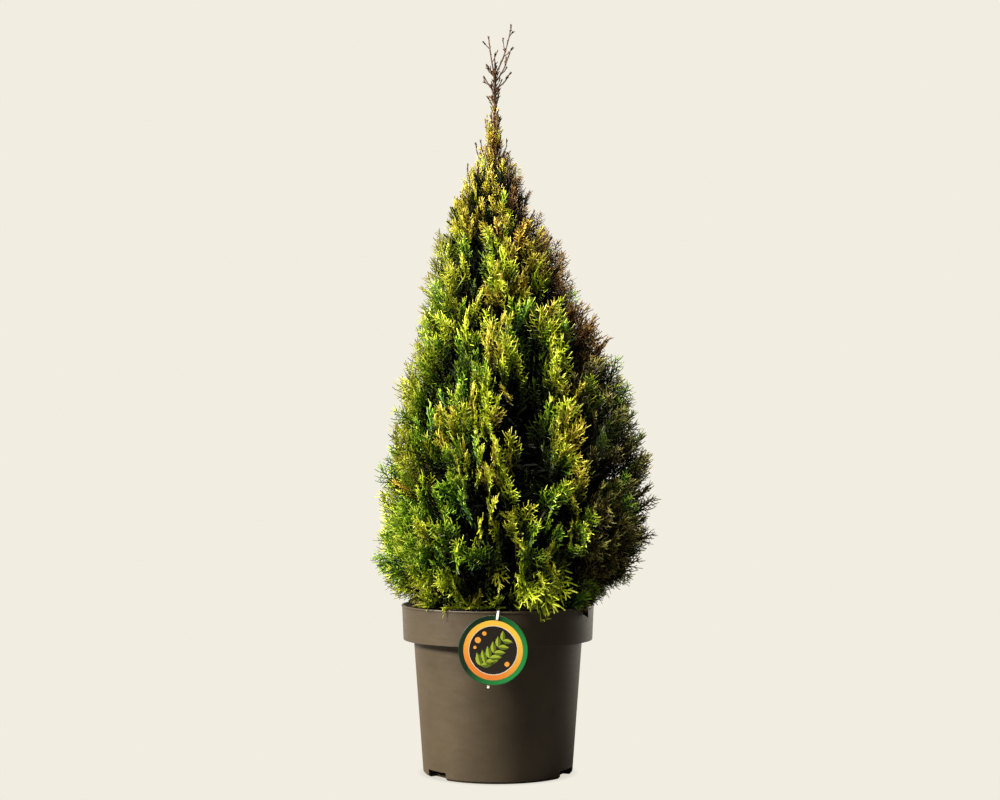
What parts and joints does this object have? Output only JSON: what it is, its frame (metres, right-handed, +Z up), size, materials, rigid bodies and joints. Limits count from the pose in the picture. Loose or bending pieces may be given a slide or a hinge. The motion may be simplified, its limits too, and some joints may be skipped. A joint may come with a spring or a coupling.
{
  "type": "potted thuja",
  "caption": "Young conical thuja with flat golden-green sprays, standing in a round nursery pot with a hanging label.",
  "frame": {"origin": "centre of the pot's flat underside, on the pot's axis", "axes": "+Z up along the pot's axis, -Y towards the front, where the label hangs, +X to the right seen from the front"},
  "size_m": [0.4159, 0.4115, 1.0894],
  "materials": {
    "pot_plastic": "satin",
    "potting_soil": "matte",
    "bark": "matte",
    "foliage": "matte",
    "golden_foliage": "matte",
    "label_card": "gloss",
    "strap_plastic": "satin"
  },
  "bodies": {
    "root": {"pot": "pot_plastic", "soil": "potting_soil", "label": "label_card", "label_strap": "strap_plastic", "trunk": "bark", "bough_skirt_1": "bark", "bough_skirt_2": "bark", "bough_skirt_3": "bark", "bough_skirt_4": "bark", "bough_skirt_5": "bark", "bough_skirt_6": "bark", "bough_skirt_7": "bark", "bough_lower_1": "bark", "bough_lower_2": "bark", "bough_lower_3": "bark", "bough_lower_4": "bark", "bough_lower_5": "bark", "bough_lower_6": "bark", "bough_lower_7": "bark", "bough_middle_1": "bark", "bough_middle_2": "bark", "bough_middle_3": "bark", "bough_middle_4": "bark", "bough_middle_5": "bark", "bough_middle_6": "bark", "bough_upper_1": "bark", "bough_upper_2": "bark", "bough_upper_3": "bark", "bough_upper_4": "bark", "foliage_skirt_1": "foliage", "foliage_skirt_2": "foliage", "foliage_skirt_3": "foliage", "foliage_skirt_4": "foliage", "foliage_skirt_5": "foliage", "foliage_skirt_6": "foliage", "foliage_skirt_7": "foliage", "foliage_lower_1": "foliage", "foliage_lower_2": "foliage", "foliage_lower_3": "foliage", "foliage_lower_4": "foliage", "foliage_lower_5": "foliage", "foliage_lower_6": "foliage", "foliage_lower_7": "foliage", "foliage_middle_1": "foliage", "foliage_middle_2": "foliage", "foliage_middle_3": "foliage", "foliage_middle_4": "foliage", "foliage_middle_5": "foliage", "foliage_middle_6": "foliage", "foliage_upper_1": "foliage", "foliage_upper_2": "foliage", "foliage_upper_3": "foliage", "foliage_upper_4": "foliage", "foliage_top_1": "foliage", "foliage_top_2": "foliage", "foliage_top_3": "foliage", "foliage_leader_1": "golden_foliage", "foliage_leader_2": "golden_foliage", "tip_twigs": "golden_foliage"}
  },
  "joints": []
}
